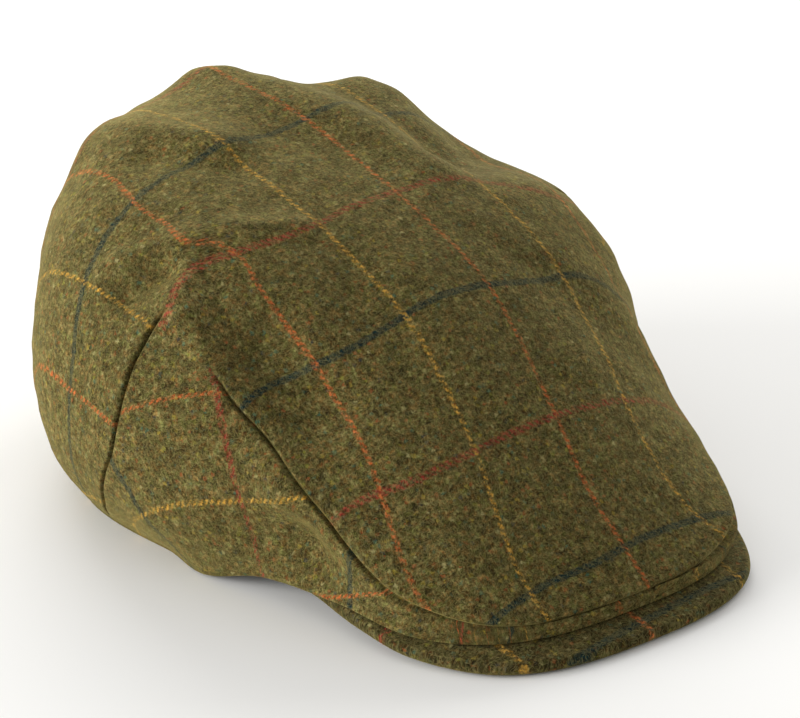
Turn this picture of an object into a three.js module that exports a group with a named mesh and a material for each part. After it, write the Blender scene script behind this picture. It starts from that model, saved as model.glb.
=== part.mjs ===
// A flat cap of tweed: a hollow cloth crown, open below, resting on a stiff crescent peak.
// Millimetres. +Z is up, -Y is the front of the cap and +X is the wearer's left.
import * as THREE from 'three';

// Driving sizes
const WALL = 2.2;
const PEAK_THICKNESS = 4.8;
const PEAK_SLOPE = 0.3;
const PEAK_HORN_ANGLE = 56;
const SEAT_GAP = 0.5;
const TOP_HEIGHT = 102;
const TOP_RISE = 0.21;
const CENTRE_Y = 7.5;

// Mesh steps
const COLUMNS = 84;
const ROWS_ABOVE_SEAM = 14;
const ROWS_BELOW_SEAM = 9;
const PEAK_STEPS = 36;

// Sewn lines are pressed into the cloth
const SEAM_DEPTH = 1.3;
const SEAM_WIDTH = 0.012;
const SEAM_TIP_ANGLE = 75;
const DART_DEPTH = 1.6;
const DART_WIDTH = 1.1;
const DART_COLUMN_ANGLE = 90;
const DART_PULL = 45;
const DART_TIP_ROW = 0.55;

// Radial sections of the crown. The angle is seen from above: 0 is the front and 180 the back.
// reach and edge: radius and height of the widest line. rim and lift: radius and height of the rim.
// side and dome: how full the section is towards the widest line and towards the top.
const SECTIONS = [
  { at: 0, reach: 132, edge: 12.5, rim: 132.5, lift: 6, side: 1.8, dome: 1.13 },
  { at: 20, reach: 131.5, edge: 13, rim: 133, lift: 6, side: 1.85, dome: 1.1 },
  { at: 32, reach: 120.5, edge: 18, rim: 123, lift: 7, side: 1.85, dome: 1.2 },
  { at: 45, reach: 102, edge: 31, rim: 103.5, lift: 9.5, side: 1.95, dome: 1.36 },
  { at: 60, reach: 92, edge: 44, rim: 90, lift: 7.2, side: 2.4, dome: 1.6 },
  { at: 75, reach: 96.5, edge: 43, rim: 87.5, lift: 1, side: 2.7, dome: 1.75 },
  { at: 90, reach: 102, edge: 40, rim: 82.8, lift: 0, side: 2.9, dome: 1.9 },
  { at: 120, reach: 108.5, edge: 38.5, rim: 94, lift: 0, side: 3.1, dome: 2.3 },
  { at: 150, reach: 116, edge: 44, rim: 101, lift: 0, side: 3.6, dome: 3 },
  { at: 180, reach: 125, edge: 47, rim: 103, lift: 0, side: 3.4, dome: 3 },
];
const POLE_SHARE = 0.5;

// Sections of the peak: radii of the head opening and of the front edge, and the lower face's height there.
const PEAK_SECTIONS = [
  { at: 0, inner: 97, outer: 141.5, lift: 0 },
  { at: 20, inner: 95, outer: 141, lift: 0.4 },
  { at: 32, inner: 91, outer: 127, lift: 1.6 },
  { at: 40, inner: 88, outer: 112, lift: 4.4 },
  { at: 48, inner: 85, outer: 96, lift: 5.8 },
  { at: 56, inner: 83, outer: 88, lift: 6.2 },
];

// The front seam, and beyond its tip the grid line that carries it on round the back.
// Row 0 is the middle of the top, 1 the widest line and 2 the rim.
const SEAM = [
  { at: 0, row: 1 },
  { at: 31, row: 1 },
  { at: 38, row: 0.95 },
  { at: 46, row: 0.88 },
  { at: 54, row: 0.85 },
  { at: 60, row: 0.81 },
  { at: 66, row: 0.757 },
  { at: 75, row: 0.655 },
  { at: 90, row: 0.62 },
  { at: 120, row: 0.66 },
  { at: 180, row: 0.72 },
];

// The back dart, from its tip near the top down to the rim.
const DART = [
  { row: 0, at: 90.5 },
  { row: 0.55, at: 90.5 },
  { row: 0.65, at: 91 },
  { row: 0.88, at: 90 },
  { row: 1.09, at: 92 },
  { row: 1.55, at: 98 },
  { row: 2, at: 105 },
];

// Folds and dents: strokes over the cloth, raised or pressed in by height, fading over width.
const FOLDS = [
  { name: 'top ridge', from: [4, 104, 114], to: [34, 16, 105], width: 14, height: 5 },
  { name: 'top of the ridge', from: [2, 105, 112], to: [7, 98, 115], width: 7, height: 2.5 },
  { name: 'valley behind it', from: [34, 84, 108], to: [46, 28, 106], width: 10, height: -3 },
  { name: 'left lobe', from: [56, 80, 105], to: [61, 73, 106], width: 12, height: 5.6 },
  { name: 'end of the lobe', from: [62, 64, 103], to: [72, 56, 94], width: 11, height: -1.2 },
  { name: 'left dip', from: [66, 36, 92], to: [52, 22, 102], width: 17, height: -7 },
  { name: 'left shoulder', from: [70, 6, 88], to: [84, -8, 72], width: 14, height: 1.5 },
  { name: 'left front swell', from: [69, -77, 30], to: [72, -60, 36], width: 10, height: 1.2 },
  { name: 'left front corner', from: [56, -110, 12], to: [66, -99, 14], width: 11, height: 3 },
  { name: 'back ridge', from: [-40, 100, 100], to: [-26, 57, 110], width: 12, height: 3.5 },
  { name: 'back crease', from: [-44, 66, 107], to: [-28, 43, 110], width: 8, height: -2.5 },
  { name: 'side step', from: [-82, 40, 88], to: [-30, 6, 102], width: 7, height: 1.8 },
  { name: 'hollow under it', from: [-66, 6, 94], to: [-34, -10, 96], width: 14, height: -1.2 },
  { name: 'dimple', from: [-83, 25, 85], to: [-73, 21, 92], width: 7, height: -4 },
  { name: 'neck ridge', from: [-66, 20, 96], to: [-78, 4, 84], width: 7, height: 2.5 },
  { name: 'low neck ridge', from: [-78, 0, 82], to: [-80, -14, 72], width: 6, height: 2 },
  { name: 'front dent', from: [-64, -23, 79], to: [-62, -42, 68], width: 14, height: -6 },
  { name: 'low dent', from: [-76, -55, 26], to: [-75, -58, 20], width: 10, height: -6 },
  { name: 'low ridge', from: [-77, -44, 42], to: [-74, -62, 30], width: 7, height: 2.5 },
  { name: 'front corner', from: [-72, -56, 40], to: [-66, -92, 20], width: 9, height: 1.8 },
  { name: 'rim fold', from: [-85, -30, 14], to: [-81, -41, 10], width: 7, height: 2.5 },
  { name: 'side swell', from: [-96, -2, 18], to: [-80, -44, 38], width: 12, height: 2 },
];

const tweed = { roughness: 0.95, metalness: 0 };
const crownCloth = new THREE.MeshStandardMaterial({ color: 0x5c5330, ...tweed });
const peakCloth = new THREE.MeshStandardMaterial({ color: 0x544b2b, ...tweed });

// Smooth curve through one column of a table, mirrored at both ends so that it stays level there.
function smooth(table, key, column, value) {
  const last = table.length - 1;
  const x = (i) => table[i][key];
  const y = (i) => table[i][column];
  let i = 0;
  while (i < last - 1 && value > x(i + 1)) i += 1;
  const slope = (j) => (j === 0 || j === last ? 0 : (y(j + 1) - y(j - 1)) / (x(j + 1) - x(j - 1)));
  const step = x(i + 1) - x(i);
  const t = THREE.MathUtils.clamp((value - x(i)) / step, 0, 1);
  return (
    (2 * t ** 3 - 3 * t ** 2 + 1) * y(i) +
    (t ** 3 - 2 * t ** 2 + t) * step * slope(i) +
    (3 * t ** 2 - 2 * t ** 3) * y(i + 1) +
    (t ** 3 - t ** 2) * step * slope(i + 1)
  );
}

// The cap is alike on both sides, so an angle on the left is looked up as its mirror on the right.
const mirrored = (degrees) => Math.abs(((((degrees + 180) % 360) + 360) % 360) - 180);

// A point at a plan angle, a radius and a height. Angles grow towards the wearer's right.
function polar(degrees, radius, height) {
  const angle = THREE.MathUtils.degToRad(degrees);
  return new THREE.Vector3(-radius * Math.sin(angle), CENTRE_Y - radius * Math.cos(angle), height);
}

// The peak's upper face rises from its rounded edge towards the head at a constant slope.
function peakTopHeight(degrees, radius) {
  const at = mirrored(degrees);
  const edge = smooth(PEAK_SECTIONS, 'at', 'outer', at) - PEAK_THICKNESS / 2;
  return smooth(PEAK_SECTIONS, 'at', 'lift', at) + PEAK_THICKNESS + (edge - radius) * PEAK_SLOPE;
}

// Lowest height that the crown's cloth may have: on the peak's upper face, or on the table beside it.
function seatHeight(degrees, radius) {
  const at = mirrored(degrees);
  if (at > PEAK_HORN_ANGLE || radius > smooth(PEAK_SECTIONS, 'at', 'outer', at) + WALL) return 0;
  return peakTopHeight(degrees, radius) + SEAT_GAP;
}

// The rim stands on the peak in front, lifts over its horns and reaches the table behind them.
function rimHeight(degrees, radius) {
  const lift = smooth(SECTIONS, 'at', 'lift', mirrored(degrees));
  return Math.max(lift, seatHeight(degrees, radius));
}

// The crown without its folds. Above the widest line the height falls by (1 - (r / reach)^side)^(1 / dome),
// and below it the wall curves in to the rim as a parabola. The exponent side turns to 2 over the inner
// share of the top, so that its middle is smooth.
function plainCrown(degrees, row) {
  const at = mirrored(degrees);
  const section = {};
  for (const column of ['reach', 'edge', 'rim', 'side', 'dome']) {
    section[column] = smooth(SECTIONS, 'at', column, at);
  }
  if (row > 1) {
    const down = row - 1;
    const radius = section.rim + (section.reach - section.rim) * (1 - down ** 2);
    const foot = rimHeight(degrees, section.rim);
    return polar(degrees, radius, section.edge - (section.edge - foot) * down);
  }
  const share = Math.sin((row * Math.PI) / 2);
  const side = 2 + (section.side - 2) * THREE.MathUtils.smoothstep(share, 0, POLE_SHARE);
  const point = polar(degrees, section.reach * share, 0);
  const fall = Math.max(0, 1 - share ** side) ** (1 / section.dome);
  const top = TOP_HEIGHT + TOP_RISE * (point.y - CENTRE_Y);
  point.z = section.edge + (top - section.edge) * fall;
  return point;
}

// Outward direction of the plain crown.
function crownNormal(degrees, row) {
  if (row < 0.02) return new THREE.Vector3(0, -TOP_RISE, 1).normalize();
  const along = plainCrown(degrees, Math.min(2, row + 0.01)).sub(plainCrown(degrees, row - 0.01));
  const around = plainCrown(degrees + 0.5, row).sub(plainCrown(degrees - 0.5, row));
  return around.cross(along).normalize();
}

// Sum of all the folds and dents at a point of the plain crown.
function foldHeight(point) {
  let height = 0;
  for (const fold of FOLDS) {
    const stroke = new THREE.Line3(new THREE.Vector3(...fold.from), new THREE.Vector3(...fold.to));
    const nearest = stroke.closestPointToPoint(point, true, new THREE.Vector3());
    height += fold.height * Math.exp(-((point.distanceTo(nearest) / fold.width) ** 2));
  }
  return height;
}

// Depth of the pressed seam and dart.
function seamDepth(degrees, row) {
  const at = mirrored(degrees);
  const offSeam = (row - smooth(SEAM, 'at', 'row', at)) / SEAM_WIDTH;
  const offDart = (at - smooth(DART, 'row', 'at', row)) / DART_WIDTH;
  const seam = at < SEAM_TIP_ANGLE ? SEAM_DEPTH * Math.exp(-(offSeam ** 2)) : 0;
  const dart = row > DART_TIP_ROW ? DART_DEPTH * Math.exp(-(offDart ** 2)) : 0;
  return Math.max(seam, dart);
}

// A point of the crown's cloth, depth below its outer face. The rim stays in its own flat plane.
function crownPoint(degrees, row, depth) {
  const point = plainCrown(degrees, row);
  const fade = row > 1 ? 1 - (row - 1) ** 3 : 1;
  const pressed = depth > 0 ? 0 : seamDepth(degrees, row) * fade;
  const normal = crownNormal(degrees, row);
  point.addScaledVector(normal, foldHeight(point) * fade - pressed - depth);
  if (row >= 2) {
    const radius = smooth(SECTIONS, 'at', 'rim', mirrored(degrees)) - depth;
    return polar(degrees, radius, rimHeight(degrees, radius));
  }
  point.z = Math.max(point.z, seatHeight(degrees, Math.hypot(point.x, point.y - CENTRE_Y)));
  return point;
}

// Columns lean towards the back dart, and rows follow the seam, so that both lie on mesh edges.
function columnAngle(column, row) {
  const degrees = (column * 360) / COLUMNS;
  const at = mirrored(degrees);
  const pull = Math.max(0, 1 - Math.abs(at - DART_COLUMN_ANGLE) / DART_PULL);
  const lean = (smooth(DART, 'row', 'at', row) - DART_COLUMN_ANGLE) * pull;
  return degrees + (degrees < 180 ? lean : -lean);
}

function rowValue(index, column) {
  const seamRow = smooth(SEAM, 'at', 'row', mirrored((column * 360) / COLUMNS));
  if (index <= ROWS_ABOVE_SEAM) return (seamRow * index) / ROWS_ABOVE_SEAM;
  return seamRow + ((2 - seamRow) * (index - ROWS_ABOVE_SEAM)) / ROWS_BELOW_SEAM;
}

function meshFrom(name, points, faces, material) {
  const geometry = new THREE.BufferGeometry();
  const positions = points.flatMap((point) => [point.x, point.y, point.z]);
  geometry.setAttribute('position', new THREE.Float32BufferAttribute(positions, 3));
  geometry.setIndex(faces.flat());
  geometry.computeVertexNormals();
  const mesh = new THREE.Mesh(geometry, material);
  mesh.name = name;
  return mesh;
}

// The crown: an outer and an inner skin, each a fan round its top point and rings below, joined at the rim.
function makeCrown() {
  const rows = ROWS_ABOVE_SEAM + ROWS_BELOW_SEAM;
  const points = [];
  const faces = [];
  const skin = (depth) => {
    const first = points.length;
    points.push(crownPoint(0, 0, depth));
    for (let index = 1; index <= rows; index += 1) {
      for (let column = 0; column < COLUMNS; column += 1) {
        const row = rowValue(index, column);
        points.push(crownPoint(columnAngle(column, row), row, depth));
      }
    }
    return (index, column) => (index === 0 ? first : first + 1 + (index - 1) * COLUMNS + (column % COLUMNS));
  };
  const outer = skin(0);
  const inner = skin(WALL);
  for (let column = 0; column < COLUMNS; column += 1) {
    const next = column + 1;
    faces.push([outer(0, 0), outer(1, next), outer(1, column)]);
    faces.push([inner(0, 0), inner(1, column), inner(1, next)]);
    for (let index = 1; index < rows; index += 1) {
      const below = index + 1;
      faces.push([outer(index, column), outer(index, next), outer(below, column)]);
      faces.push([outer(index, next), outer(below, next), outer(below, column)]);
      faces.push([inner(index, column), inner(below, column), inner(index, next)]);
      faces.push([inner(index, next), inner(below, column), inner(below, next)]);
    }
    faces.push([outer(rows, column), outer(rows, next), inner(rows, column)]);
    faces.push([outer(rows, next), inner(rows, next), inner(rows, column)]);
  }
  return meshFrom('crown', points, faces, crownCloth);
}

// One section through the peak: along the upper face, round the edge and back along the lower face.
function peakSection(degrees) {
  const at = mirrored(degrees);
  const inner = smooth(PEAK_SECTIONS, 'at', 'inner', at);
  const outer = smooth(PEAK_SECTIONS, 'at', 'outer', at);
  const round = PEAK_THICKNESS / 2;
  const section = [];
  for (const share of [0, 0.35, 0.7, 1]) {
    const radius = inner + (outer - round - inner) * share;
    section.push(polar(degrees, radius, peakTopHeight(degrees, radius)));
  }
  for (const turn of [45, 90, 135]) {
    const angle = THREE.MathUtils.degToRad(turn);
    const radius = outer - round + round * Math.sin(angle);
    const drop = round - round * Math.cos(angle);
    section.push(polar(degrees, radius, peakTopHeight(degrees, outer - round) - drop));
  }
  for (const share of [1, 0.5, 0]) {
    const radius = inner + (outer - round - inner) * share;
    section.push(polar(degrees, radius, peakTopHeight(degrees, radius) - PEAK_THICKNESS));
  }
  return section;
}

// The peak: its sections swept from horn to horn, closed by a fan at each horn.
function makePeak() {
  const points = [];
  const faces = [];
  let sides = 0;
  for (let step = 0; step <= PEAK_STEPS; step += 1) {
    const section = peakSection(PEAK_HORN_ANGLE * ((2 * step) / PEAK_STEPS - 1));
    sides = section.length;
    points.push(...section);
  }
  for (let step = 0; step < PEAK_STEPS; step += 1) {
    for (let side = 0; side < sides; side += 1) {
      const a = step * sides + side;
      const b = step * sides + ((side + 1) % sides);
      faces.push([a, a + sides, b]);
      faces.push([b, a + sides, b + sides]);
    }
  }
  const last = PEAK_STEPS * sides;
  for (let side = 1; side < sides - 1; side += 1) {
    faces.push([0, side, side + 1]);
    faces.push([last, last + side + 1, last + side]);
  }
  return meshFrom('peak', points, faces, peakCloth);
}

const cap = new THREE.Group();
cap.add(makeCrown(), makePeak());

export default cap;
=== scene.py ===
# %% [markdown]
# A tweed flat cap, built cell by cell.
#
# The cap is one hollow body of sewn cloth, the crown, that rests on a stiff cloth-covered peak. The measured
# frame is loaded first. Everything that is made here lies where the frame's pieces lie, so the frame comes
# before anything else.

import bpy
import numpy as np
from mathutils import Matrix, Vector


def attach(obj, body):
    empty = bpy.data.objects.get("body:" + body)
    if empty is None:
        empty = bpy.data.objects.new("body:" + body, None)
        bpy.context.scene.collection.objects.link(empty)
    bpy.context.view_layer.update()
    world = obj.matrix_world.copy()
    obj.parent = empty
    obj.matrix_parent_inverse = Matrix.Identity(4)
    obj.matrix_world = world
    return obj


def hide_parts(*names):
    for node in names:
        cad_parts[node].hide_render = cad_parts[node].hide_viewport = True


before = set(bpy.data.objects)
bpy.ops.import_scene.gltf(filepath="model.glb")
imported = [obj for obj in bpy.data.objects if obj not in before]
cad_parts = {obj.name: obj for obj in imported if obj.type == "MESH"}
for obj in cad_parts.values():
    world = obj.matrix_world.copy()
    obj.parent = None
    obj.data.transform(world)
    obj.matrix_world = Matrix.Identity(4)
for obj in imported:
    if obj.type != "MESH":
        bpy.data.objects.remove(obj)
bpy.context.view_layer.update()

# %% [markdown]
# Sizes are written in millimetres, because that is how a hatter measures, and turned to metres only where
# something is placed in the scene. The cap's front looks along -Y. Angles round the cap start at the front
# and grow towards the wearer's right.

# %% Units and driving sizes
MM = 0.001
WALL = 2.2
CENTRE_Y = 7.5
TOP_HEIGHT = 102
TOP_RISE = 0.21
PEAK_THICKNESS = 4.8
PEAK_SLOPE = 0.3
PEAK_HORN_ANGLE = 56
SEAT_GAP = 0.5

# %% [markdown]
# The photograph is taken from the wearer's right, well above the table, with a long lens. The camera is set
# first, so that each piece can be judged from it as soon as it is made. Its aim is moved a little off the
# cap's middle to give the cap the same place in the frame, which is simpler than shifting the lens.

# %% Camera
CAMERA_AZIMUTH = -38.7
CAMERA_ELEVATION = 25.1
CAMERA_ROLL = 0.7
CAMERA_DISTANCE = 1338
CAMERA_LENS = 184
AIM_POINT = (0, 0, 45)
AIM_RIGHT = 5.5
AIM_UP = 2.1


def camera_axes(azimuth, elevation):
    """The directions to the right, upwards and back to the camera, from its angles in degrees."""
    a, e = np.radians(azimuth), np.radians(elevation)
    back = np.array([np.sin(a) * np.cos(e), -np.cos(a) * np.cos(e), np.sin(e)])
    right = np.array([np.cos(a), np.sin(a), 0.0])
    return right, np.cross(back, right), back


def add_camera():
    """A camera on the line from the aim point back at the two angles, rolled about its own axis."""
    right, up, back = camera_axes(CAMERA_AZIMUTH, CAMERA_ELEVATION)
    place = np.array(AIM_POINT) + CAMERA_DISTANCE * back
    aim = np.array(AIM_POINT) + AIM_RIGHT * right + AIM_UP * up
    camera = bpy.data.objects.new("camera", bpy.data.cameras.new("camera"))
    bpy.context.scene.collection.objects.link(camera)
    look = Vector(aim - place).to_track_quat("-Z", "Y").to_matrix().to_4x4()
    roll = Matrix.Rotation(np.radians(CAMERA_ROLL), 4, "Z")
    camera.matrix_world = Matrix.Translation(Vector(place * MM)) @ look @ roll
    camera.data.lens = CAMERA_LENS
    camera.data.clip_end = 100
    bpy.context.scene.camera = camera
    return camera


camera = add_camera()
print("camera in metres:", [round(v, 3) for v in camera.location])

# %% [markdown]
# The crown is a soft form with no straight line in it. It could be sculpted by hand, but then nobody could
# change its size. Here it is a surface of two parameters: the angle round the head, and the row, which is 0
# in the middle of the top, 1 at the widest line and 2 at the rim. A short table gives the section at a few
# angles, and smooth curves through its columns give every angle between.

# %% Tables of the crown and the peak
SECTIONS = {
    "at": (0, 20, 32, 45, 60, 75, 90, 120, 150, 180),
    "reach": (132, 131.5, 120.5, 102, 92, 96.5, 102, 108.5, 116, 125),
    "edge": (12.5, 13, 18, 31, 44, 43, 40, 38.5, 44, 47),
    "rim": (132.5, 133, 123, 103.5, 90, 87.5, 82.8, 94, 101, 103),
    "lift": (6, 6, 7, 9.5, 7.2, 1, 0, 0, 0, 0),
    "side": (1.8, 1.85, 1.85, 1.95, 2.4, 2.7, 2.9, 3.1, 3.6, 3.4),
    "dome": (1.13, 1.1, 1.2, 1.36, 1.6, 1.75, 1.9, 2.3, 3, 3),
}
PEAK_SECTIONS = {
    "at": (0, 20, 32, 40, 48, 56),
    "inner": (97, 95, 91, 88, 85, 83),
    "outer": (141.5, 141, 127, 112, 96, 88),
    "lift": (0, 0.4, 1.6, 4.4, 5.8, 6.2),
}
SEAM = {
    "at": (0, 31, 38, 46, 54, 60, 66, 75, 90, 120, 180),
    "row": (1, 1, 0.95, 0.88, 0.85, 0.81, 0.757, 0.655, 0.62, 0.66, 0.72),
}
DART = {
    "row": (0, 0.55, 0.65, 0.88, 1.09, 1.55, 2),
    "at": (90.5, 90.5, 91, 90, 92, 98, 105),
}
SEAM_TIP_ANGLE = 75
DART_TIP_ROW = 0.55
DART_ANGLE = 90
DART_PULL = 45


def smooth(table, key, column, value):
    """A cubic curve through one column of a table. Each slope is that between the point's two neighbours,
    and the curve is level at both ends, where the table is mirrored."""
    x, y = np.array(table[key], float), np.array(table[column], float)
    slope = np.zeros(len(x))
    slope[1:-1] = (y[2:] - y[:-2]) / (x[2:] - x[:-2])
    i = np.clip(np.searchsorted(x, value) - 1, 0, len(x) - 2)
    step = x[i + 1] - x[i]
    t = np.clip((value - x[i]) / step, 0, 1)
    return (
        (2 * t**3 - 3 * t**2 + 1) * y[i]
        + (t**3 - 2 * t**2 + t) * step * slope[i]
        + (3 * t**2 - 2 * t**3) * y[i + 1]
        + (t**3 - t**2) * step * slope[i + 1]
    )


def mirrored(degrees):
    """The angle from the front, 0 to 180 on either side."""
    return np.abs((degrees + 180) % 360 - 180)


def polar(degrees, radius, height):
    """Points at an angle from the front, a radius from the head's middle and a height."""
    angle = np.radians(degrees)
    x, y = -radius * np.sin(angle), CENTRE_Y - radius * np.cos(angle)
    return np.stack(np.broadcast_arrays(x, y, height), axis=-1)


def ease(value, start, end):
    """0 before start, 1 after end, and a smooth step between them."""
    t = np.clip((value - start) / (end - start), 0, 1)
    return t * t * (3 - 2 * t)


# %% [markdown]
# The crown's band stands on the peak, so the peak's upper face is worked out before the crown. It rises from
# its rounded edge towards the head at a constant slope.

# %% Heights that the crown rests on
def peak_top(degrees, radius):
    """Height of the peak's upper face: the lift there, its thickness, and the slope in from the edge."""
    at = mirrored(degrees)
    edge = smooth(PEAK_SECTIONS, "at", "outer", at) - PEAK_THICKNESS / 2
    return smooth(PEAK_SECTIONS, "at", "lift", at) + PEAK_THICKNESS + (edge - radius) * PEAK_SLOPE


def seat_height(degrees, radius):
    """Lowest height that the crown's cloth may have: on the peak, or on the table beside it."""
    at = mirrored(degrees)
    beside = (at > PEAK_HORN_ANGLE) | (radius > smooth(PEAK_SECTIONS, "at", "outer", at) + WALL)
    return np.where(beside, 0, peak_top(degrees, radius) + SEAT_GAP)


def rim_height(degrees, radius):
    """The rim stands on the peak, lifts over its horns and reaches the table behind them."""
    return np.maximum(smooth(SECTIONS, "at", "lift", mirrored(degrees)), seat_height(degrees, radius))


# %% [markdown]
# The plain crown is the cap before anyone has handled it. Above the widest line the height falls as a rounded
# power curve, because one exponent makes the shoulder full and another flattens the top. Below it, the wall
# curves in to the rim as a parabola.

# %% Plain crown
POLE_SHARE = 0.5


def plain_crown(degrees, row):
    """Above the widest line the height falls by (1 - (r / reach)^side)^(1 / dome). The exponent side turns to
    2 at the middle of the top, so that the top is smooth there. Below the line the wall is a parabola."""
    at = mirrored(degrees)
    reach, edge, rim, side, dome = (
        smooth(SECTIONS, "at", column, at) for column in ("reach", "edge", "rim", "side", "dome")
    )
    share = np.sin(np.minimum(row, 1) * np.pi / 2)
    side = 2 + (side - 2) * ease(share, 0, POLE_SHARE)
    y = -reach * share * np.cos(np.radians(degrees))
    top = TOP_HEIGHT + TOP_RISE * y
    above = edge + (top - edge) * np.maximum(0, 1 - share**side) ** (1 / dome)
    down = np.maximum(row - 1, 0)
    radius = np.where(row > 1, rim + (reach - rim) * (1 - down**2), reach * share)
    below = edge - (edge - rim_height(degrees, rim)) * down
    return polar(degrees, radius, np.where(row > 1, below, above))


print("height of the middle of the top:", plain_crown(np.array(0.0), np.array(0.0))[2], "mm")

# %% [markdown]
# Soft cloth takes folds and dents when it is handled. Each of them is one stroke over the cloth, from one
# point to another, with a width and a height: raised where the height is positive, and pressed in where it is
# negative. Adding the strokes up is quicker than sculpting, and each stays one line to change.

# %% Folds and dents
# from, to, width, height
FOLDS = {
    "top ridge": ((4, 104, 114), (34, 16, 105), 14, 5),
    "top of the ridge": ((2, 105, 112), (7, 98, 115), 7, 2.5),
    "valley behind it": ((34, 84, 108), (46, 28, 106), 10, -3),
    "left lobe": ((56, 80, 105), (61, 73, 106), 12, 5.6),
    "end of the lobe": ((62, 64, 103), (72, 56, 94), 11, -1.2),
    "left dip": ((66, 36, 92), (52, 22, 102), 17, -7),
    "left shoulder": ((70, 6, 88), (84, -8, 72), 14, 1.5),
    "left front swell": ((69, -77, 30), (72, -60, 36), 10, 1.2),
    "left front corner": ((56, -110, 12), (66, -99, 14), 11, 3),
    "back ridge": ((-40, 100, 100), (-26, 57, 110), 12, 3.5),
    "back crease": ((-44, 66, 107), (-28, 43, 110), 8, -2.5),
    "side step": ((-82, 40, 88), (-30, 6, 102), 5.5, 1.7),
    "hollow under it": ((-66, 6, 94), (-34, -10, 96), 14, -1.2),
    "dimple": ((-83, 25, 85), (-73, 21, 92), 7, -4),
    "neck ridge": ((-66, 20, 96), (-78, 4, 84), 7, 2.5),
    "low neck ridge": ((-78, 0, 82), (-80, -14, 72), 6, 2),
    "front dent": ((-64, -23, 79), (-62, -42, 68), 14, -6),
    "low dent": ((-76, -55, 26), (-75, -58, 20), 10, -6),
    "low ridge": ((-77, -44, 42), (-74, -62, 30), 7, 2.5),
    "front corner": ((-72, -56, 40), (-66, -92, 20), 9, 1.8),
    "rim fold": ((-85, -30, 14), (-81, -41, 10), 7, 2.5),
    "side swell": ((-96, -2, 18), (-80, -44, 38), 12, 2),
}


def stroke_height(points, strokes):
    """Sum over the strokes of height times exp(-(distance to the stroke / width)^2)."""
    total = np.zeros(points.shape[:-1])
    for start, end, width, height in strokes.values():
        a, line = np.array(start, float), np.subtract(end, start).astype(float)
        share = np.clip((points - a) @ line / (line @ line), 0, 1)
        distance = np.linalg.norm(points - a - share[..., None] * line, axis=-1)
        total += height * np.exp(-((distance / width) ** 2))
    return total


def waves(points, length, count, seed):
    """Gentle unevenness of about -1 to 1: sine waves of one length in random directions, added up and divided
    by the square root of their number."""
    rng = np.random.default_rng(seed)
    directions = rng.normal(size=(count, 3))
    directions *= 2 * np.pi / length / np.linalg.norm(directions, axis=1)[:, None]
    phases = rng.uniform(0, 2 * np.pi, count)
    return np.sin(points @ directions.T + phases).sum(axis=-1) / np.sqrt(count)


# %% [markdown]
# A sewn line shows as a narrow groove with the cloth puffed up beside it, because the seam allowance lies
# underneath. To get a groove a millimetre wide, the mesh needs a row of edges along the seam and closer rows
# beside it. So the grid's rows are placed by their distance along the cloth from the seam, and its columns
# lean to follow the back dart.

# %% Grid of the crown
NEAR_STEPS = (0, 0.35, 0.7, 1.05, 1.4, 1.8, 2.3, 3, 4, 5.2)
ROWS_ABOVE = 84
ROWS_BELOW = 34
COLUMN_STEP = 0.6
NEAR_DEGREES = (0.12, 0.25, 0.4, 0.56, 0.74, 0.95, 1.2, 1.55, 2, 2.5)
PROFILE_STEPS = 600
JUST_UNDER_ONE = 0.999


def column_angles():
    """Even angles all round, with closer ones beside the two darts. The even steps are stretched a little, so
    that the last one ends on the quarter turn."""
    near = np.array(NEAR_DEGREES)
    wide = np.arange(near[-1] + COLUMN_STEP, DART_ANGLE + COLUMN_STEP / 4, COLUMN_STEP)
    wide *= DART_ANGLE / wide[-1]
    half = np.concatenate([[0], near, wide])
    quarter = np.concatenate([DART_ANGLE - half[::-1], DART_ANGLE + half[1:-1]])
    return np.concatenate([quarter, quarter + 180])


def leaned(columns, row):
    """Angles of the columns at a row, leaning towards the dart's line near it."""
    at = mirrored(columns)
    pull = np.maximum(0, 1 - np.abs(at - DART_ANGLE) / DART_PULL)
    lean = (smooth(DART, "row", "at", row) - DART_ANGLE) * pull
    return columns + np.where(columns % 360 < 180, lean, -lean)


def lengths_along(points, axis):
    """Distance walked over the points along one axis of the grid, from its first point."""
    steps = np.linalg.norm(np.diff(points, axis=axis), axis=-1)
    start = np.zeros_like(np.take(steps, [0], axis=axis))
    return np.concatenate([start, np.cumsum(steps, axis=axis)], axis=axis)


def distances_out(near, count, length):
    """Distances from a line: the near ones as they are, then even steps up to the whole length."""
    near = np.array(near)[:, None]
    rest = near[-1] + np.linspace(0, 1, count - len(near) + 1)[1:, None] * (length - near[-1])
    return np.concatenate([np.broadcast_to(near, (len(near), len(length))), rest])


def crown_rows(columns):
    """Row values of the grid, one line for each ring. A fine profile of each column gives its length along
    the cloth, and the rings are placed on it at set distances above and below the seam."""
    seam_row = smooth(SEAM, "at", "row", mirrored(columns))
    rings = []
    for end, count in ((0, ROWS_ABOVE), (2, ROWS_BELOW)):
        rows = seam_row + (end - seam_row) * np.linspace(0, 1, PROFILE_STEPS)[:, None]
        walked = lengths_along(plain_crown(leaned(columns, rows), rows), axis=0)
        wanted = distances_out(NEAR_STEPS, count, walked[-1])
        # One interpolation serves all columns, because each is moved by its own whole number
        order = np.arange(len(columns))
        known = (walked / walked[-1] * JUST_UNDER_ONE + order).T.ravel()
        share = (wanted / walked[-1] * JUST_UNDER_ONE + order).T.ravel()
        rings.append(np.interp(share, known, rows.T.ravel()).reshape(len(columns), -1).T)
    above, below = rings
    return np.concatenate([above[::-1], below[1:]])


columns = column_angles()
rows = crown_rows(columns)
SEAM_RING = ROWS_ABOVE - 1
print("crown grid:", rows.shape[0], "rings of", rows.shape[1], "points")

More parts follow.
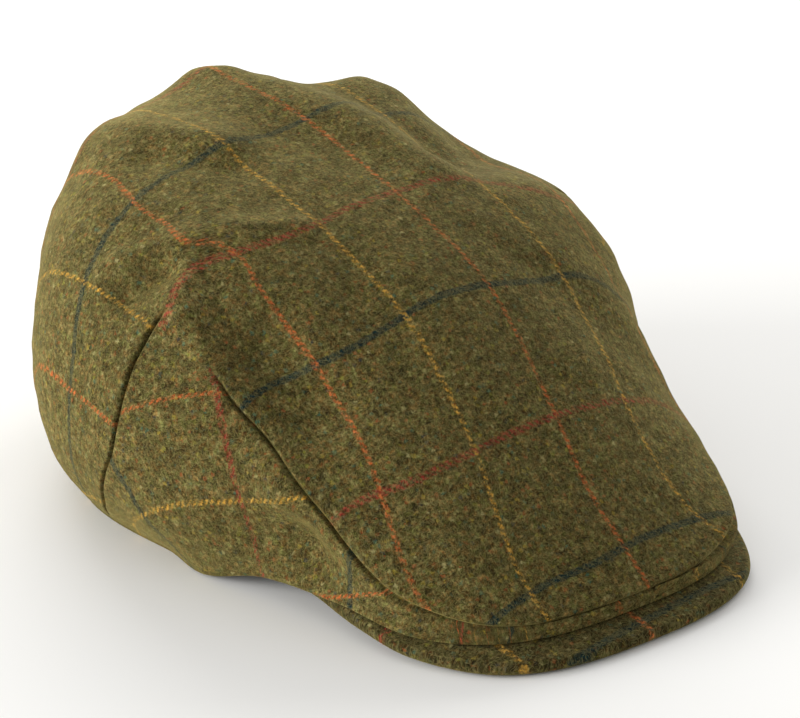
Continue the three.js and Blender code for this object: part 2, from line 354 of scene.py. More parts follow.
# %% Cloth of the crown
ROW_STEP = 0.01
ANGLE_STEP = 0.5
POLE_ROWS = 0.02
SEAM_DEPTH = 1.6
SEAM_WIDTH = 0.75
DART_DEPTH = 1.9
DART_WIDTH = 0.6
ROLL_HEIGHT = 0.6
ROLL_WIDTH = 6
ALLOWANCE_HEIGHT = 1.3
ALLOWANCE_WIDTH = 5
SEAM_FADE = 7
LEFT_SEAM_SHORTER = 16
DART_FADE = 0.09
# how late the folds, the seam allowance and the hem's lift set in towards the rim
FOLD_POWER = 3
ALLOWANCE_POWER = 8
HEM_POWER = 4
# height and length of the waves, their number, and the seed of their directions
UNEVEN = ((0.45, 34, 14, 3), (0.16, 11, 18, 4))


def crown_normals(degrees, row):
    """Outward directions of the plain crown, from its differences round and along it. Near the middle of the
    top these are too small to use, so the slope of the top gives the direction there."""
    further, nearer = np.minimum(2, row + ROW_STEP), np.maximum(0, row - ROW_STEP)
    along = plain_crown(degrees, further) - plain_crown(degrees, nearer)
    around = plain_crown(degrees + ANGLE_STEP, row) - plain_crown(degrees - ANGLE_STEP, row)
    normal = np.cross(around, along)
    length = np.linalg.norm(normal, axis=-1, keepdims=True)
    upright = np.array([0, -TOP_RISE, 1]) / np.hypot(1, TOP_RISE)
    return np.where(row[..., None] < POLE_ROWS, upright, normal / np.maximum(length, 1e-9))


def stitch_distances(points):
    """Distance of each grid point from the front seam along its column, and from the dart along its ring."""
    from_seam = lengths_along(points, axis=0)
    from_seam = np.abs(from_seam - from_seam[SEAM_RING])
    walked = lengths_along(points, axis=1)
    darts = [np.argmin(np.abs(columns - angle)) for angle in (DART_ANGLE, 360 - DART_ANGLE)]
    from_dart = np.min([np.abs(walked - walked[:, [dart]]) for dart in darts], axis=0)
    return from_seam, from_dart


def groove(distance, depth, width):
    """A low roll of cloth, split along its middle by a narrow groove."""
    roll = ROLL_HEIGHT * np.exp(-((distance / ROLL_WIDTH) ** 2))
    return roll - (ROLL_HEIGHT + depth) * np.exp(-((distance / width) ** 2))


def towards_rim(power):
    """0 down to the widest line and 1 at the rim. The higher the power, the nearer to the rim it grows."""
    return np.maximum(rows - 1, 0) ** power


def crown_skins():
    """Outer and inner skin of the crown on the grid. Folds and unevenness move both along the normal. The
    grooves are in the outer skin alone, and the seam allowances in the inner one. Both fade out towards the
    rim, where the hem begins, and the cloth is kept off the peak and the table."""
    degrees = leaned(columns, rows)
    plain = plain_crown(degrees, rows)
    normal = crown_normals(degrees, rows)
    fade = 1 - towards_rim(FOLD_POWER)
    from_seam, from_dart = stitch_distances(plain)
    tip = SEAM_TIP_ANGLE - LEFT_SEAM_SHORTER * (columns > 180)
    seam = 1 - ease(mirrored(columns), tip - SEAM_FADE, tip)
    dart = ease(rows, DART_TIP_ROW, DART_TIP_ROW + DART_FADE)
    uneven = sum(height * waves(plain, length, count, seed) for height, length, count, seed in UNEVEN)
    folds = (stroke_height(plain, FOLDS) + uneven) * fade
    pressed = seam * groove(from_seam, SEAM_DEPTH, SEAM_WIDTH)
    pressed = pressed + dart * groove(from_dart, DART_DEPTH, DART_WIDTH)
    allowance = seam * np.exp(-((from_seam / ALLOWANCE_WIDTH) ** 2))
    allowance = np.maximum(allowance, dart * np.exp(-((from_dart / ALLOWANCE_WIDTH) ** 2)))
    allowance = allowance * (1 - towards_rim(ALLOWANCE_POWER))
    outer = plain + normal * (folds + pressed * fade)[..., None]
    inner = plain + normal * (folds - WALL - ALLOWANCE_HEIGHT * allowance)[..., None]
    for skin in (outer, inner):
        skin[..., 2] += WALL / 2 * towards_rim(HEM_POWER)
        radius = np.hypot(skin[..., 0], skin[..., 1] - CENTRE_Y)
        skin[..., 2] = np.maximum(skin[..., 2], seat_height(degrees, radius) + WALL / 2 * (rows > 1))
    return outer, inner, plain, degrees


outer, inner, plain, degrees = crown_skins()
print("crown with its folds, millimetres:", outer.min(axis=(0, 1)).round(1), outer.max(axis=(0, 1)).round(1))

# %% [markdown]
# The cloth has an overcheck, so its lines have to run over the crown as they do on real cloth: straight
# along the threads, whatever the form does. The cloth coordinate across the warp grows with the distance
# walked to the side, and the one across the weft with the distance walked to the front. Where the maker's
# hands and the seams have pulled the cloth, a table of pulls moves the lines by some millimetres.

# %% Cloth coordinates
PANEL_SKEW = np.array([[0.94, 1.0], [-0.66, 0.6]])
PANEL_SHIFT = np.array([-11.9, -44.2])
LEFT_PANEL_SHIFT = np.array([5.8, -52.4])
BAND_SHIFT = np.array([13.0, 0.0])
BAND_ANGLES = (16, 28)
# at, wide, shift, each to the side and to the front
PULLS = {
    "middle of the top": ((10, -50), (60, 30), (4.5, 0)),
    "left of the middle": ((56, -44), (24, 24), (5, 0)),
    "front": ((-10, -130), (70, 30), (-6, -2)),
    "right of the front": ((-68, -110), (14, 32), (-6, 0)),
    "middle of the front": ((-33, -150), (16, 28), (-5, 0)),
    "left of the front": ((38, -105), (16, 25), (-4, 0)),
    "left corner": ((50, -150), (14, 12), (8, 0)),
    "back of the top": ((0, 85), (35, 30), (-6, 0)),
    "right of the back": ((-62, 38), (20, 18), (-5, 0)),
    "right shoulder": ((-55, 0), (15, 12), (4, 0)),
    "above the shoulder": ((-66, 14), (9, 11), (-6, 0)),
    "low on the back": ((-116, 64), (20, 32), (9, 0)),
    "first line at the ridge": ((-32, -3), (16, 12), (0, -3)),
    "third line": ((-10, -98), (50, 18), (0, -2)),
    "front line": ((-8, -147), (18, 15), (0, -2.5)),
    "second weft line": ((0, -44), (80, 20), (0, 1.5)),
    "second weft line at the left": ((58, -42), (22, 20), (0, 5.5)),
    "second line at the seam": ((-90, -38), (32, 20), (0, 11)),
    "third line at the seam": ((-86, -82), (35, 30), (0, 16)),
    "third line at the left": ((72, -90), (35, 30), (0, 6)),
    "front line at the left": ((66, -138), (35, 25), (0, 8)),
    "first line at the right": ((-72, 12), (22, 16), (0, 9)),
    "first line at the left": ((70, -8), (22, 16), (0, -7)),
    "above the seam's tip": ((-84, -14), (10, 9), (0, -7)),
    "back wing": ((-130, 30), (45, 30), (0, -20)),
}


def pulled(cloth):
    """Cloth coordinates less the sum of shift times exp(-(distance / wide)^2) over the pulls."""
    moved = cloth.copy()
    for at, wide, shift in PULLS.values():
        weight = np.exp(-(((cloth - np.array(at)) / np.array(wide)) ** 2).sum(axis=-1))
        moved -= weight[..., None] * np.array(shift, float)
    return moved


def crown_cloth(points, degrees):
    """Distances walked over the crown, to the side and to the front. Along a column, a step down the wall
    counts by how far the column points to that direction."""
    angle = np.radians(degrees)
    radius = np.hypot(points[..., 0], points[..., 1] - CENTRE_Y)
    step_out = np.diff(radius, axis=0, prepend=0)
    step_down = np.diff(points[..., 2], axis=0, prepend=points[:1, :, 2])
    sideways = np.cumsum(np.hypot(step_out, step_down * np.sin(angle)), axis=0)
    forwards = np.cumsum(np.hypot(step_out, step_down * np.cos(angle)), axis=0)
    return np.stack([-sideways * np.sin(angle), -forwards * np.cos(angle)], axis=-1)


def thread_cloth(cloth, degrees):
    """Thread coordinates of the side panels and of the rest. A panel is cut on the skew, so its threads run
    at a slant to those of the top. Towards the front band the slant ends."""
    left = degrees[..., None] > 180
    mirror = np.array([[1, -1], [-1, 1]])
    right_panel = cloth @ PANEL_SKEW.T + PANEL_SHIFT
    left_panel = cloth @ (PANEL_SKEW * mirror).T + LEFT_PANEL_SHIFT
    panel = np.where(left, left_panel, right_panel)
    at = mirrored(degrees)
    slant = ease(at, *BAND_ANGLES)[..., None]
    top = pulled(cloth)
    return panel * slant + (top + BAND_SHIFT) * (1 - slant), top


cloth = crown_cloth(plain, degrees)
side_cloth, top_cloth = thread_cloth(cloth, degrees)
print("cloth coordinates reach, millimetres:", cloth.min(axis=(0, 1)).round(), cloth.max(axis=(0, 1)).round())

# %% [markdown]
# The crown's outer skin, its rounded hem and its inner skin are one run of closed rings, from the top point
# outside to the top point inside. One function turns such a run into a mesh, and the peak uses it too. Each
# corner of a face carries its own cloth coordinates, because the check breaks off at a seam.

# %% Crown mesh
HEM_TURNS = (30, 60, 90, 120, 150)
INNER_RINGS = 15


def ring_faces(ring_count, around):
    """Corner numbers of the faces between neighbouring rings, as indices into the rings' grid."""
    ring, place = np.meshgrid(np.arange(ring_count - 1), np.arange(around), indexing="ij")
    beside = (place + 1) % around
    corners = np.stack([ring * around + place, ring * around + beside,
                        (ring + 1) * around + beside, (ring + 1) * around + place], axis=-1)
    return corners.reshape(-1, 4)


def ring_mesh(name, rings, cloth_at):
    """A closed mesh from a run of closed rings. The first and the last ring are single points, so the faces
    beside them are triangles. cloth_at gives the cloth coordinates of the faces' corners, in millimetres."""
    count, around = rings.shape[:2]
    corners = ring_faces(count, around)
    number = np.arange(count * around).reshape(count, around)
    number[0], number[-1] = 0, (count - 2) * around + 1
    number[1:-1] = 1 + np.arange((count - 2) * around).reshape(count - 2, around)
    places = np.concatenate([rings[0, :1], rings[1:-1].reshape(-1, 3), rings[-1, :1]]) * MM
    keep = np.ones(corners.shape, bool)
    keep[:around, 1] = False
    keep[-around:, 2] = False
    mesh = bpy.data.meshes.new(name)
    mesh.vertices.add(len(places))
    mesh.vertices.foreach_set("co", places.ravel())
    mesh.loops.add(int(keep.sum()))
    mesh.loops.foreach_set("vertex_index", number.ravel()[corners[keep]])
    mesh.polygons.add(len(corners))
    mesh.polygons.foreach_set("loop_start", np.concatenate([[0], np.cumsum(keep.sum(axis=1))[:-1]]))
    mesh.polygons.foreach_set("use_smooth", np.ones(len(corners), bool))
    mesh.update(calc_edges=True)
    layer = mesh.uv_layers.new(name="cloth")
    layer.data.foreach_set("uv", (cloth_at[keep] * MM).ravel())
    mesh.validate()
    piece = bpy.data.objects.new(name, mesh)
    bpy.context.scene.collection.objects.link(piece)
    triangles = sum(len(face.vertices) - 2 for face in mesh.polygons)
    print(name, "has", len(places), "points and", triangles, "triangles")
    return piece


def crown_rings():
    """Rings of the outer skin, then of the hem as a half circle of the wall's thickness, then of the inner
    skin back to the top. The order says from which ring of the grid each takes its cloth coordinates."""
    rim = smooth(SECTIONS, "at", "rim", mirrored(degrees[-1]))
    hem = []
    for turn in np.radians(HEM_TURNS):
        radius = rim - WALL / 2 + WALL / 2 * np.cos(turn)
        height = rim_height(degrees[-1], radius) + WALL / 2 * (1 - np.sin(turn))
        hem.append(polar(degrees[-1], radius, height))
    picked = np.linspace(len(rows) - 1, 0, INNER_RINGS).round().astype(int)
    order = np.concatenate([np.arange(len(rows)), np.full(len(hem), len(rows) - 1), picked])
    return np.concatenate([outer, np.array(hem), inner[picked]]), order


def crown_corners(order, around):
    """Cloth coordinates of each face's corners: the side panel's before the dart and below the seam or the
    line that carries it on, and the top's everywhere else."""
    corners = ring_faces(len(order), around)
    source = order[corners // around] * around + corners % around
    ring = np.minimum(order[:-1], order[1:]).repeat(around)
    after = np.roll(columns, -1)
    middle = (columns + after + 360 * (after < columns)) / 2 % 360
    in_panel = (mirrored(np.tile(middle, len(order) - 1)) < DART_ANGLE) & (ring >= SEAM_RING)
    side, top = (layer.reshape(-1, 2)[source] for layer in (side_cloth, top_cloth))
    return np.where(in_panel[:, None, None], side, top)


rings, order = crown_rings()
crown = ring_mesh("crown_cloth", rings, crown_corners(order, rings.shape[1]))

# %% [markdown]
# The peak is a plate of stiffener with tweed drawn over it, so its edge is round and its faces are plain. Its
# section is one closed ring, and the rings are swept from horn to horn. At each horn they shrink to a point,
# as the real plate does inside the cap.

# %% Peak mesh
PEAK_RINGS = 150
PEAK_SIDE_POINTS = 34
PEAK_EDGE_TURNS = np.linspace(0, 180, 13)[1:-1]
HORN_TURNS = np.radians((90, 68, 45, 22))
HORN_ROUND = 1.6
PEAK_CLOTH_SCALE = np.array([0.75, 1.0])
PEAK_CLOTH_TURN = 6
PEAK_CLOTH_SHIFT = np.array([19.7, -15.1])


def peak_section(degrees):
    """Points round the peak's section at some angles: out along the upper face, round the edge, and back
    along the lower face and the blunt inner edge."""
    at = mirrored(degrees)
    inside, outside = (smooth(PEAK_SECTIONS, "at", column, at) for column in ("inner", "outer"))
    half = PEAK_THICKNESS / 2
    edge = outside - half
    share = np.linspace(0, 1, PEAK_SIDE_POINTS)[:, None]
    radius = inside + (edge - inside) * share
    top = peak_top(degrees, radius)
    turn = np.radians(PEAK_EDGE_TURNS)[:, None]
    round_radius = edge + half * np.sin(turn)
    round_height = peak_top(degrees, edge) - half * (1 - np.cos(turn))
    radius = np.concatenate([radius, round_radius, radius[::-1]])
    height = np.concatenate([top, round_height, top[::-1] - PEAK_THICKNESS])
    return polar(np.broadcast_to(degrees, radius.shape), radius, height).transpose(1, 0, 2)


def peak_rings():
    """Sections from horn to horn. Past each horn's angle they shrink to a point as a quarter circle does."""
    past = PEAK_HORN_ANGLE + HORN_ROUND * np.sin(HORN_TURNS)
    turns = np.concatenate([past, np.linspace(PEAK_HORN_ANGLE, -PEAK_HORN_ANGLE, PEAK_RINGS), -past[::-1]])
    size = np.concatenate([np.cos(HORN_TURNS), np.ones(PEAK_RINGS), np.cos(HORN_TURNS)[::-1]])
    sections = peak_section(turns % 360)
    middle = sections.mean(axis=1, keepdims=True)
    return middle + (sections - middle) * size[:, None, None]


rings = peak_rings()
turn = np.radians(PEAK_CLOTH_TURN)
plan = rings[..., :2] @ np.array([[np.cos(turn), -np.sin(turn)], [np.sin(turn), np.cos(turn)]])
peak_cloth = plan * PEAK_CLOTH_SCALE + PEAK_CLOTH_SHIFT
peak = ring_mesh("peak_cloth", rings, peak_cloth.reshape(-1, 2)[ring_faces(*rings.shape[:2])])

# %% [markdown]
# Tweed is woven from carded wool yarns that are dyed before they are spun, so one olive yarn holds green,
# brown, straw and dark hairs. That gives the eye a mottled ground, a twill too fine to count, a checked
# pattern of single bright threads, and a nap of loose hairs over it all. Each of these is one short function
# below. Colours are sRGB hex values, and one function turns them to the linear values that the shader needs.

# %% Colours and a node helper
def linear(code):
    """A linear colour from an sRGB hex code such as 5c5330."""
    value = np.array([int(code[i : i + 2], 16) for i in (0, 2, 4)]) / 255
    value = np.where(value <= 0.04045, value / 12.92, ((value + 0.055) / 1.055) ** 2.4)
    return (*(float(v) for v in value), 1.0)


def in_use(sockets, name=None):
    """The first socket that a node's settings leave in use, of all of them or of those with a name."""
    return next(socket for socket in sockets if socket.enabled and name in (None, socket.name))


def add(tree, kind, inputs, stops=(), **settings):
    """Adds one node. settings are its properties, and stops the places and hex codes of a colour ramp. inputs
    gives its sockets, by name or number, a value, an output of another node, or another node, whose first
    output in use is linked."""
    made = tree.nodes.new(kind)
    for name, value in settings.items():
        setattr(made, name, value)
    for number, (place, code) in enumerate(stops):
        points = made.color_ramp.elements
        point = points[number] if number < len(points) else points.new(place)
        point.position, point.color = place, linear(code)
    for key, value in inputs.items():
        socket = in_use(made.inputs, key) if isinstance(key, str) else made.inputs[key]
        if isinstance(value, bpy.types.Node):
            value = in_use(value.outputs)
        if isinstance(value, bpy.types.NodeSocket):
            tree.links.new(value, socket)
        else:
            socket.default_value = value
    return made


print("olive of the ground, linear:", [round(v, 3) for v in linear("574d25")[:3]])

# %% [markdown]
# The yarns lie 0.65 mm apart, in a twill: each passes over two and under two, one step further along from
# yarn to yarn. At this size a thread of the check shows as a rope of short slanting dashes. No yarn is quite
# straight, so a slow noise makes them waver.

# %% Yarns in a twill
YARN = 0.65
WAVER_SCALE = 0.55
WAVER_REACH = 1.5
TWILL_REPEAT = 4.0
TWILL_OVER = 1.5


def woven(tree, flat, place):
    """Cloth coordinates with the yarns' waver, in millimetres, and for either direction a mask that is 1
    where its yarns lie on top. The warp does so in the first two steps of the twill's four, and the weft in
    the others."""
    waver = add(tree, "ShaderNodeTexNoise", {"Vector": place, "Scale": WAVER_SCALE, "Detail": 2.0})
    waver = add(tree, "ShaderNodeVectorMath", {0: waver.outputs["Color"], 1: (0.5, 0.5, 0.5)},
                operation="SUBTRACT")
    waver = add(tree, "ShaderNodeVectorMath", {0: waver, "Scale": WAVER_REACH}, operation="SCALE")
    threads = add(tree, "ShaderNodeVectorMath", {0: flat, 1: waver}, operation="ADD")
    across = add(tree, "ShaderNodeSeparateXYZ", {0: threads})
    step = 0.0
    for way in ("X", "Y"):
        yarn = add(tree, "ShaderNodeMath", {0: across.outputs[way], 1: YARN}, operation="DIVIDE")
        yarn = add(tree, "ShaderNodeMath", {0: yarn}, operation="FLOOR")
        step = add(tree, "ShaderNodeMath", {0: step, 1: yarn}, operation="ADD")
    step = add(tree, "ShaderNodeMath", {0: step, 1: TWILL_REPEAT}, operation="FLOORED_MODULO")
    warp_up = add(tree, "ShaderNodeMath", {0: step, 1: TWILL_OVER}, operation="LESS_THAN")
    weft_up = add(tree, "ShaderNodeMath", {0: 1.0, 1: warp_up}, operation="SUBTRACT")
    return threads, {"X": warp_up, "Y": weft_up}


print("yarns to the centimetre:", round(10 / YARN, 1))

# %% [markdown]
# The ground is one tone between dark and pale, mixed from fine streaks along the yarns, a felted grain and
# slow clouds. A ramp turns it to olives, and a second noise lets them drift from green to brown. The peak has
# darker olives, because the photograph shows it in a deeper shade than these lamps give it.

# %% Mottled ground
GROUND = ((0.38, "29220b"), (0.445, "3f3616"), (0.5, "574d25"), (0.555, "72673a"), (0.64, "a1965f"))
PEAK_GROUND = ((0.38, "1d1807"), (0.445, "2e270f"), (0.5, "41391a"), (0.555, "574e2b"), (0.64, "81784a"))
GREEN_TO_BROWN = ((0.36, "758c68"), (0.5, "807e7c"), (0.64, "a47a5a"))
STREAK_WIDTH = 0.6
STREAK_LENGTH = 2.2
FELT_SHARE = 0.5
CLOUD_SHARE = 0.38
DRIFT_SHARE = 0.7


def mottled(tree, place, threads, warp_up):
    """Two tones that lie round 0.5: the fine one of streaks and felt, and the whole one with clouds too."""
    streaks = []
    for size in ((STREAK_LENGTH, STREAK_WIDTH), (STREAK_WIDTH, STREAK_LENGTH)):
        along = add(tree, "ShaderNodeVectorMath", {0: threads, 1: (1 / size[0], 1 / size[1], 1.0)},
                    operation="MULTIPLY")
        streaks.append(add(tree, "ShaderNodeTexNoise", {
            "Vector": along, "Scale": 1.0, "Detail": 2.0, "Roughness": 0.6}))
    grain = add(tree, "ShaderNodeMix", {"Factor": warp_up, "A": streaks[0], "B": streaks[1]})
    felt = add(tree, "ShaderNodeTexNoise", {"Vector": place, "Scale": 0.8, "Detail": 2.0, "Roughness": 0.65})
    cloud = add(tree, "ShaderNodeTexNoise", {"Vector": place, "Scale": 0.28, "Detail": 3.0, "Roughness": 0.7})
    fine = add(tree, "ShaderNodeMix", {"Factor": FELT_SHARE, "A": grain, "B": felt})
    return fine, add(tree, "ShaderNodeMix", {"Factor": CLOUD_SHARE, "A": fine, "B": cloud})


def ground_colour(tree, place, tone, ground):
    """The ramp's colour at the tone, overlaid with the drift from green to brown."""
    colour = add(tree, "ShaderNodeValToRGB", {"Fac": tone}, stops=ground)
    drift = add(tree, "ShaderNodeTexNoise", {"Vector": place, "Scale": 0.5, "Detail": 3.0, "Roughness": 0.7})
    hue = add(tree, "ShaderNodeValToRGB", {"Fac": drift}, stops=GREEN_TO_BROWN)
    return add(tree, "ShaderNodeMix", {"Factor": DRIFT_SHARE, "A": colour, "B": hue},
               data_type="RGBA", blend_type="OVERLAY")


print("ground ramps:", len(GROUND), "olives for the crown and", len(PEAK_GROUND), "for the peak")

# %% [markdown]
# Flecks of other wool, such as rust, teal, navy and straw, tell tweed from plain cloth near to. Each lies in
# the middle of a cell of a random pattern and has a ragged outline. Two cells in five have none.

# %% Flecks
FLECKS = (
    (0.0, "8a4222"), (0.22, "94802c"), (0.4, "2f5d4c"), (0.6, "1f2a33"), (0.76, "7c7a2a"), (0.9, "a39a68"))
FLECK_CELLS = 0.55
FLECK_EDGE = (0.5, 0.15)
RAGGED_REACH = 2.2
FLECK_CHANCE = 0.4
FLECK_STRONGEST = 0.7


def with_flecks(tree, place, colour):
    """The colour with flecks over it. A cell's random red says how strong its fleck is, and its random green
    picks the wool."""
    ragged = add(tree, "ShaderNodeTexNoise", {"Vector": place, "Scale": 1.3, "Detail": 2.0})
    ragged = add(tree, "ShaderNodeVectorMath", {0: ragged.outputs["Color"], "Scale": RAGGED_REACH},
                 operation="SCALE")
    ragged = add(tree, "ShaderNodeVectorMath", {0: place, 1: ragged}, operation="ADD")
    cells = add(tree, "ShaderNodeTexVoronoi", {"Vector": ragged, "Scale": FLECK_CELLS})
    chance = add(tree, "ShaderNodeSeparateColor", {0: cells.outputs["Color"]})
    near = add(tree, "ShaderNodeMapRange", {
        "Value": cells.outputs["Distance"], "From Min": FLECK_EDGE[0], "From Max": FLECK_EDGE[1]})
    strong = add(tree, "ShaderNodeMapRange", {
        "Value": chance.outputs["Red"], "From Min": FLECK_CHANCE, "From Max": 1.0,
        "To Min": 0.0, "To Max": FLECK_STRONGEST})
    fleck = add(tree, "ShaderNodeMath", {0: near, 1: strong}, operation="MULTIPLY")
    wool = add(tree, "ShaderNodeValToRGB", {"Fac": chance.outputs["Green"]}, stops=FLECKS)
    wool.color_ramp.interpolation = "CONSTANT"
    return add(tree, "ShaderNodeMix", {"Factor": fleck, "A": colour, "B": wool}, data_type="RGBA")


print("wools in the flecks:", len(FLECKS))

# %% [markdown]
# The check's warp threads are rust and gold by turns, and its weft threads are navy and dark red. In the
# photograph the navy is the strongest, so it shows almost everywhere, and the others only where they lie on
# top and the nap over them is thin.

# %% Threads of the check
# start, spacing and half width in millimetres, how much of either colour shows at least, and the two colours
WEFT = (46.5, 47.5, 1.2, (0.76, 0.26), ("00262a", "8e3328"))
WARP = (9.5, 33.6, 0.8, (0.2, 0.12), ("ba5d2d", "c4933a"))
THREAD_EDGE = 0.3
NAP_THICK = 0.38
NAP_THIN = 0.52
SHADE = ((0.36, "505050"), (0.5, "b4b4b4"), (0.62, "ffffff"))
SHADE_SHARE = 0.8


def thread_mask(tree, across, up, nap, start, spacing, half_width, least):
    """How much the check's threads of one direction show, and whether the thread is the second of the two
    colours. It shows fully where it lies on top and the nap is thin. Lying below and thick nap each multiply
    that by the colour's least."""
    moved = add(tree, "ShaderNodeMath", {0: across, 1: start}, operation="SUBTRACT")
    turn = add(tree, "ShaderNodeMath", {0: moved, 1: spacing}, operation="PINGPONG")
    second = add(tree, "ShaderNodeMath", {0: turn, 1: spacing / 2}, operation="GREATER_THAN")
    faint = add(tree, "ShaderNodeMapRange", {"Value": second, "To Min": least[0], "To Max": least[1]})
    away = add(tree, "ShaderNodeMath", {0: moved, 1: spacing / 2}, operation="PINGPONG")
    near = add(tree, "ShaderNodeMapRange", {
        "Value": away, "From Min": half_width + THREAD_EDGE, "From Max": half_width - THREAD_EDGE})
    on_top = add(tree, "ShaderNodeMapRange", {"Value": up, "To Min": faint, "To Max": 1.0})
    bare = add(tree, "ShaderNodeMapRange", {
        "Value": nap, "From Min": NAP_THICK, "From Max": NAP_THIN, "To Min": faint, "To Max": 1.0})
    shown = add(tree, "ShaderNodeMath", {0: near, 1: on_top}, operation="MULTIPLY")
    return add(tree, "ShaderNodeMath", {0: shown, 1: bare}, operation="MULTIPLY"), second


def with_check(tree, place, threads, up, fine, colour):
    """The colour with the weft's and then the warp's threads over it, each shaded by the fine tone."""
    nap = add(tree, "ShaderNodeTexNoise", {"Vector": place, "Scale": 0.4, "Detail": 3.0, "Roughness": 0.7})
    shade = add(tree, "ShaderNodeValToRGB", {"Fac": fine}, stops=SHADE)
    across = add(tree, "ShaderNodeSeparateXYZ", {0: threads})
    for way, (*layout, dyes) in (("Y", WEFT), ("X", WARP)):
        shown, second = thread_mask(tree, across.outputs[way], up[way], nap, *layout)
        first, other = (linear(code) for code in dyes)
        dye = add(tree, "ShaderNodeMix", {"Factor": second, "A": first, "B": other}, data_type="RGBA")
        dye = add(tree, "ShaderNodeMix", {"Factor": SHADE_SHARE, "A": dye, "B": shade},
                  data_type="RGBA", blend_type="MULTIPLY")
        colour = add(tree, "ShaderNodeMix", {"Factor": shown, "A": colour, "B": dye}, data_type="RGBA")
    return colour


print("cells of the check:", WARP[1], "by", WEFT[1], "mm")

# %% [markdown]
# Last come the loose hairs, a few directions of thin streaks that bend a little. They are a little paler than
# the ground and stand up from it. Hairs made as curves would need tens of thousands of them, and at this
# distance the streaks look the same.

# %% Hairs and the whole cloth
# turn in degrees, length and thickness of the hairs in millimetres
HAIRS = ((15, 1.9, 0.26), (62, 1.6, 0.24), (108, 2.1, 0.26), (155, 1.7, 0.24))
HAIR_CURL = 3.0
HAIR_EDGE = (0.6, 0.74)
HAIR_COLOUR = "c4b878"
HAIR_SHARE = 0.14
HAIR_RELIEF = 0.12
RELIEF_DEPTH = 0.55
SHEEN_COLOUR = "d8c878"


def loose_hairs(tree, flat, place):
    """1 along the middle of a hair and 0 beside it, from noise drawn out to the hair's length."""
    curl = add(tree, "ShaderNodeTexNoise", {"Vector": place, "Scale": 0.3})
    curl = add(tree, "ShaderNodeVectorMath", {0: curl.outputs["Color"], "Scale": HAIR_CURL},
               operation="SCALE")
    curled = add(tree, "ShaderNodeVectorMath", {0: flat, 1: curl}, operation="ADD")
    hairs = 0.0
    for turn, length, thick in HAIRS:
        turned = add(tree, "ShaderNodeMapping", {
            "Vector": curled, "Rotation": (0.0, 0.0, np.radians(turn)), "Scale": (length, thick, 1.0)},
            vector_type="TEXTURE")
        lines = add(tree, "ShaderNodeTexNoise", {"Vector": turned, "Scale": 1.0, "Detail": 0.0})
        lines = add(tree, "ShaderNodeMapRange", {
            "Value": lines, "From Min": HAIR_EDGE[0], "From Max": HAIR_EDGE[1]})
        hairs = add(tree, "ShaderNodeMath", {0: hairs, 1: lines}, operation="MAXIMUM")
    return hairs


def tweed(name, ground):
    """The whole cloth as one material: ground, flecks, check and hairs, laid one over the other in turn."""
    material = bpy.data.materials.new(name)
    material.use_nodes = True
    tree = material.node_tree
    tree.nodes.clear()
    flat = add(tree, "ShaderNodeUVMap", {}, uv_map="cloth")
    flat = add(tree, "ShaderNodeVectorMath", {0: flat, "Scale": 1 / MM}, operation="SCALE")
    place = add(tree, "ShaderNodeTexCoord", {}).outputs["Object"]
    place = add(tree, "ShaderNodeVectorMath", {0: place, "Scale": 1 / MM}, operation="SCALE")
    threads, up = woven(tree, flat, place)
    fine, tone = mottled(tree, place, threads, up["X"])
    colour = ground_colour(tree, place, tone, ground)
    colour = with_flecks(tree, place, colour)
    colour = with_check(tree, place, threads, up, fine, colour)
    hairs = loose_hairs(tree, flat, place)
    lit = add(tree, "ShaderNodeMath", {0: hairs, 1: HAIR_SHARE}, operation="MULTIPLY")
    colour = add(tree, "ShaderNodeMix", {"Factor": lit, "A": colour, "B": linear(HAIR_COLOUR)},
                 data_type="RGBA")
    height = add(tree, "ShaderNodeMath", {0: hairs, 1: HAIR_RELIEF, 2: tone}, operation="MULTIPLY_ADD")
    bump = add(tree, "ShaderNodeBump", {"Height": height, "Strength": 0.8, "Distance": RELIEF_DEPTH * MM})
    skin = add(tree, "ShaderNodeBsdfPrincipled", {
        "Base Color": colour, "Roughness": 0.95, "IOR": 1.5, "Specular IOR Level": 0.1, "Sheen Weight": 0.4,
        "Sheen Roughness": 0.4, "Sheen Tint": linear(SHEEN_COLOUR), "Normal": bump})
    add(tree, "ShaderNodeOutputMaterial", {"Surface": skin})
    print(name, "has", len(tree.nodes), "nodes")
    return material


crown.data.materials.append(tweed("crown_tweed", GROUND))
peak.data.materials.append(tweed("peak_tweed", PEAK_GROUND))

# %% [markdown]
# A product photograph is lit softly, so that a matt cloth shows its folds without hard shadows. Here a pale
# floor and a pale sky give most of the light, and three broad lamps shape the cap, one behind it and one on
# either side. Light that grazes the nap from behind and from the side is what makes wool look soft.

# %% Floor and light
FLOOR_SIZE = 6000
FLOOR_COLOUR = "f4f3f0"
FLOOR_ROUGHNESS = 0.9
SKY_STRENGTH = 0.54
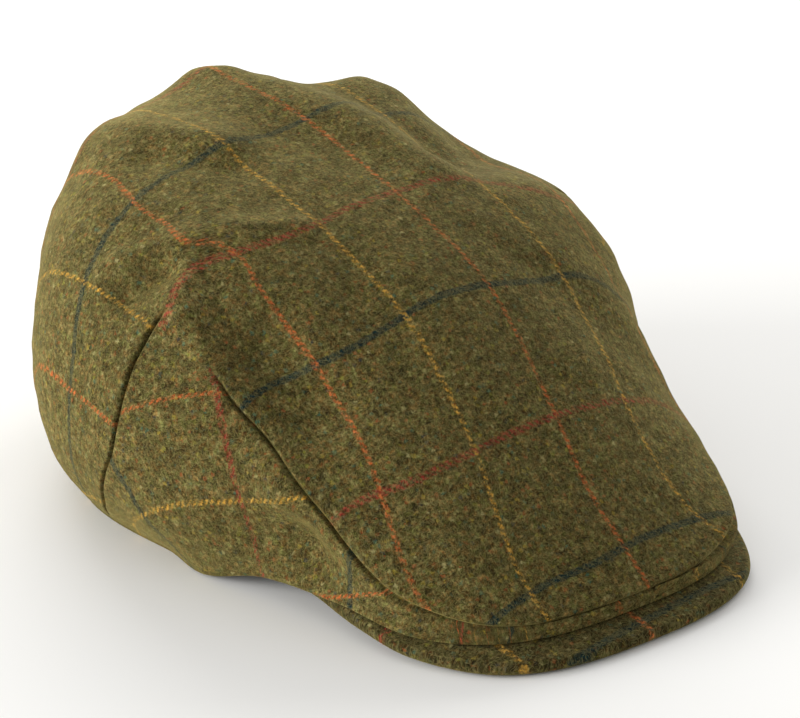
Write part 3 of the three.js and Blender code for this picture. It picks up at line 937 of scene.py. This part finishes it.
# place and size in millimetres, power in watts
LAMPS = {
    "back_lamp": ((1000, 2000, 1150), 1600, 38),
    "left_lamp": ((-1900, 700, 440), 1300, 62),
    "right_lamp": ((1700, 600, 800), 900, 14),
}


def add_floor():
    """A plain pale floor at the height that the cap rests on."""
    half = FLOOR_SIZE * MM / 2
    corners = [(-half, -half, 0), (half, -half, 0), (half, half, 0), (-half, half, 0)]
    mesh = bpy.data.meshes.new("floor")
    mesh.from_pydata(corners, [], [(0, 1, 2, 3)])
    floor = bpy.data.objects.new("floor", mesh)
    bpy.context.scene.collection.objects.link(floor)
    material = bpy.data.materials.new("matt_paint")
    material.use_nodes = True
    paint = material.node_tree.nodes["Principled BSDF"]
    paint.inputs["Base Color"].default_value = linear(FLOOR_COLOUR)
    paint.inputs["Roughness"].default_value = FLOOR_ROUGHNESS
    mesh.materials.append(material)
    return floor


def add_lamp(name, place, size, power):
    """A square lamp that looks at the point that the camera is aimed by."""
    lamp = bpy.data.objects.new(name, bpy.data.lights.new(name, "AREA"))
    bpy.context.scene.collection.objects.link(lamp)
    look = Vector(np.subtract(AIM_POINT, place)).to_track_quat("-Z", "Y").to_matrix().to_4x4()
    lamp.matrix_world = Matrix.Translation(Vector(place) * MM) @ look
    lamp.data.size = size * MM
    lamp.data.energy = power


floor = add_floor()
for name, (place, size, power) in LAMPS.items():
    add_lamp(name, place, size, power)
world = bpy.data.worlds.new("studio")
world.use_nodes = True
world.node_tree.nodes["Background"].inputs["Color"].default_value = linear("ffffff")
world.node_tree.nodes["Background"].inputs["Strength"].default_value = SKY_STRENGTH
bpy.context.scene.world = world
bpy.context.scene.view_settings.view_transform = "Standard"
print("lamps:", ", ".join(LAMPS))

# %% [markdown]
# Last, each piece is tied to the frame: it moves with the cap's one body and stands for the plain solid that
# was measured, which is hidden.

# %% Tie the pieces to the frame
for piece, solid, finish in ((crown, "crown", "crown_tweed"), (peak, "peak", "peak_tweed")):
    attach(piece, "root")
    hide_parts(solid)
